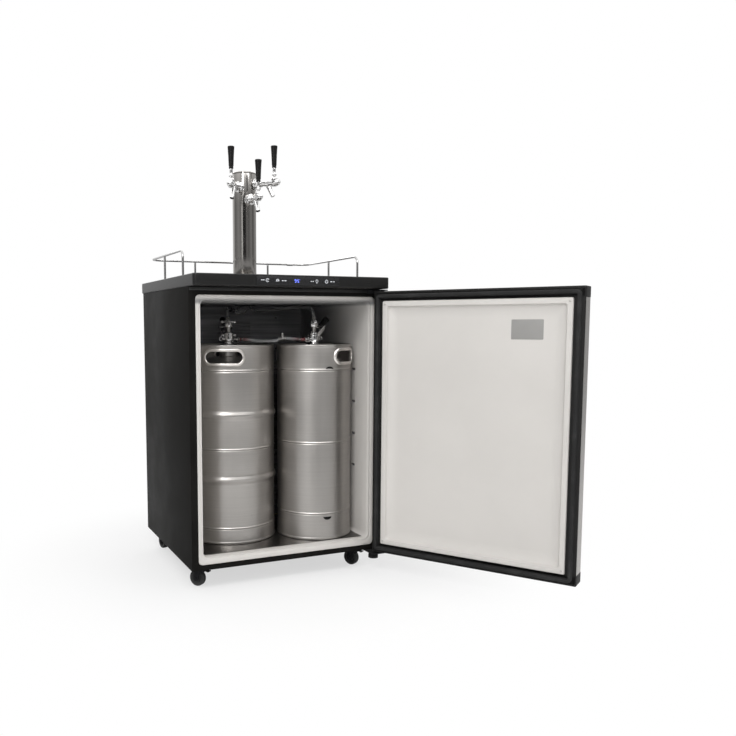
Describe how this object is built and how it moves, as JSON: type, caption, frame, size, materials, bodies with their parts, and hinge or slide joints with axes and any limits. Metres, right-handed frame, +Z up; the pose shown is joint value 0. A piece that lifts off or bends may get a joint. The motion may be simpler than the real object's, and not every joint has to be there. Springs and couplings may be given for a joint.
{
  "type": "kegerator",
  "caption": "Freestanding beer dispenser: refrigerated cabinet on casters with an open hinged door, kegs inside, a draught tower with taps, a guard rail and a drip tray.",
  "frame": {"origin": "centre of the cabinet's flat underside", "axes": "+X to the right seen from the front, +Y to the back, +Z up"},
  "size_m": [0.9204, 1.0937, 1.3201],
  "materials": {
    "black_steel": "satin black paint",
    "black_plastic": "satin moulded",
    "white_plastic": "satin white",
    "steel": "brushed",
    "chrome": "polished",
    "foam": "rigid foam",
    "rubber": "matt",
    "panel": "gloss black",
    "beer_hose": "clear vinyl, shown pale",
    "gas_hose": "red vinyl",
    "keg_steel": "brushed stainless"
  },
  "bodies": {
    "cabinet": {"cabinet_shell": "black_steel", "back_panel": "black_steel", "base_pan": "black_steel", "foam_insulation": "foam", "inner_liner": "white_plastic", "floor_plate": "steel", "evaporator_cover": "white_plastic", "compressor": "black_steel", "cord_gland": "rubber", "worktop": "black_plastic", "control_panel": "panel", "guard_rail": "chrome", "tower_column": "steel", "tower_base": "steel", "tower_cap": "steel", "tap_shank_left": "chrome", "tap_shank_middle": "chrome", "tap_shank_right": "chrome", "tap_body_left": "chrome", "tap_body_middle": "chrome", "tap_body_right": "chrome", "hinge_top": "black_steel", "hinge_bottom": "black_steel", "levelling_foot": "black_plastic", "keg_left": "keg_steel", "keg_right": "keg_steel", "coupler_body_left": "chrome", "coupler_body_right": "chrome", "beer_line_left": "beer_hose", "beer_line_right": "beer_hose", "gas_line": "gas_hose"},
    "door": {"door_skin": "steel", "door_frame": "black_plastic", "door_liner": "white_plastic", "door_gasket": "rubber"},
    "drip_tray": {"drip_tray": "steel"},
    "drip_grille": {"drip_grille": "steel"},
    "tap_lever_left": {"tap_lever_left": "chrome", "tap_handle_left": "black_plastic"},
    "tap_plunger_left": {"tap_plunger_left": "steel"},
    "tap_lever_middle": {"tap_lever_middle": "chrome", "tap_handle_middle": "black_plastic"},
    "tap_plunger_middle": {"tap_plunger_middle": "steel"},
    "tap_lever_right": {"tap_lever_right": "chrome", "tap_handle_right": "black_plastic"},
    "tap_plunger_right": {"tap_plunger_right": "steel"},
    "caster_front_left": {"caster_fork_front_left": "black_plastic"},
    "wheel_front_left": {"caster_wheel_front_left": "rubber"},
    "brake_front_left": {"brake_pedal_front_left": "black_plastic"},
    "caster_front_right": {"caster_fork_front_right": "black_plastic"},
    "wheel_front_right": {"caster_wheel_front_right": "rubber"},
    "brake_front_right": {"brake_pedal_front_right": "black_plastic"},
    "caster_rear_left": {"caster_fork_rear_left": "black_plastic"},
    "wheel_rear_left": {"caster_wheel_rear_left": "rubber"},
    "caster_rear_right": {"caster_fork_rear_right": "black_plastic"},
    "wheel_rear_right": {"caster_wheel_rear_right": "rubber"},
    "coupler_lever_left": {"coupler_lever_left": "black_plastic"},
    "coupler_probe_left": {"coupler_probe_left": "steel"},
    "coupler_lever_right": {"coupler_lever_right": "black_plastic"},
    "coupler_probe_right": {"coupler_probe_right": "steel"}
  },
  "joints": [
    {"name": "door_hinge", "type": "hinge", "parent": "cabinet", "child": "door", "pos_m": [0.2841, -0.305, 0.4], "axis": [0, 0, 1], "range_deg": [-123, 8]},
    {"name": "tray_lift", "type": "slide", "parent": "cabinet", "child": "drip_tray", "axis": [0, 0, 1], "range_m": [0, 0.03]},
    {"name": "grille_lift", "type": "slide", "parent": "drip_tray", "child": "drip_grille", "axis": [0, 0, 1], "range_m": [0, 0.02]},
    {"name": "tap_left_pull", "type": "hinge", "parent": "cabinet", "child": "tap_lever_left", "pos_m": [-0.07227, 0.01624, 1.1408], "axis": [0.7431, -0.6691, 0], "range_deg": [0, 30]},
    {"name": "tap_left_plunger", "type": "slide", "parent": "cabinet", "child": "tap_plunger_left", "axis": [0.6691, 0.7431, 0], "range_m": [0, 0.0066]},
    {"name": "tap_middle_pull", "type": "hinge", "parent": "cabinet", "child": "tap_lever_middle", "pos_m": [0.00753, -0.01124, 1.1018], "axis": [0.9976, 0.0698, 0], "range_deg": [0, 30]},
    {"name": "tap_middle_plunger", "type": "slide", "parent": "cabinet", "child": "tap_plunger_middle", "axis": [-0.0698, 0.9976, 0], "range_m": [0, 0.0066]},
    {"name": "tap_right_pull", "type": "hinge", "parent": "cabinet", "child": "tap_lever_right", "pos_m": [0.07227, 0.01624, 1.1543], "axis": [0.7431, 0.6691, 0], "range_deg": [0, 30]},
    {"name": "tap_right_plunger", "type": "slide", "parent": "cabinet", "child": "tap_plunger_right", "axis": [-0.6691, 0.7431, 0], "range_m": [0, 0.0066]},
    {"name": "caster_front_left_swivel", "type": "hinge", "parent": "cabinet", "child": "caster_front_left", "pos_m": [-0.252, -0.2035, -0.01], "axis": [0, 0, 1], "continuous": true},
    {"name": "wheel_front_left_roll", "type": "hinge", "parent": "caster_front_left", "child": "wheel_front_left", "pos_m": [-0.25971, -0.19431, -0.042], "axis": [-0.766, -0.6428, 0], "continuous": true},
    {"name": "brake_front_left_press", "type": "hinge", "parent": "caster_front_left", "child": "brake_front_left", "pos_m": [-0.243, -0.21422, -0.0165], "axis": [0.766, 0.6428, 0], "range_deg": [0, 14]},
    {"name": "caster_front_right_swivel", "type": "hinge", "parent": "cabinet", "child": "caster_front_right", "pos_m": [0.252, -0.2035, -0.01], "axis": [0, 0, 1], "continuous": true},
    {"name": "wheel_front_right_roll", "type": "hinge", "parent": "caster_front_right", "child": "wheel_front_right", "pos_m": [0.246, -0.19311, -0.042], "axis": [-0.866, -0.5, 0], "continuous": true},
    {"name": "brake_front_right_press", "type": "hinge", "parent": "caster_front_right", "child": "brake_front_right", "pos_m": [0.259, -0.21562, -0.0165], "axis": [0.866, 0.5, 0], "range_deg": [0, 14]},
    {"name": "caster_rear_left_swivel", "type": "hinge", "parent": "cabinet", "child": "caster_rear_left", "pos_m": [-0.252, 0.2135, -0.01], "axis": [0, 0, 1], "continuous": true},
    {"name": "wheel_rear_left_roll", "type": "hinge", "parent": "caster_rear_left", "child": "wheel_rear_left", "pos_m": [-0.25408, 0.22532, -0.042], "axis": [-0.9848, -0.1736, 0], "continuous": true},
    {"name": "caster_rear_right_swivel", "type": "hinge", "parent": "cabinet", "child": "caster_rear_right", "pos_m": [0.252, 0.2135, -0.01], "axis": [0, 0, 1], "continuous": true},
    {"name": "wheel_rear_right_roll", "type": "hinge", "parent": "caster_rear_right", "child": "wheel_rear_right", "pos_m": [0.25095, 0.22545, -0.042], "axis": [-0.9962, -0.0872, 0], "continuous": true},
    {"name": "coupler_left_press", "type": "hinge", "parent": "cabinet", "child": "coupler_lever_left", "pos_m": [-0.108, -0.0455, 0.6589], "axis": [-1, 0, 0], "range_deg": [0, 45]},
    {"name": "coupler_left_probe", "type": "slide", "parent": "cabinet", "child": "coupler_probe_left", "axis": [0, 0, -1], "range_m": [0, 0.0121], "deforming": ["beer_line_left"]},
    {"name": "coupler_right_press", "type": "hinge", "parent": "cabinet", "child": "coupler_lever_right", "pos_m": [0.1445, -0.12756, 0.6589], "axis": [-0.3256, 0.9455, 0], "range_deg": [0, 45]},
    {"name": "coupler_right_probe", "type": "slide", "parent": "cabinet", "child": "coupler_probe_right", "axis": [0, 0, -1], "range_m": [0, 0.0121], "deforming": ["beer_line_right"]}
  ],
  "couplings": [
    {"joint": "tap_left_plunger", "follows": "tap_left_pull", "m_per_rad": 0.0124},
    {"joint": "tap_middle_plunger", "follows": "tap_middle_pull", "m_per_rad": 0.0124},
    {"joint": "tap_right_plunger", "follows": "tap_right_pull", "m_per_rad": 0.0124},
    {"joint": "coupler_left_probe", "follows": "coupler_left_press", "m_per_rad": 0.01528},
    {"joint": "coupler_right_probe", "follows": "coupler_right_press", "m_per_rad": 0.01528}
  ]
}
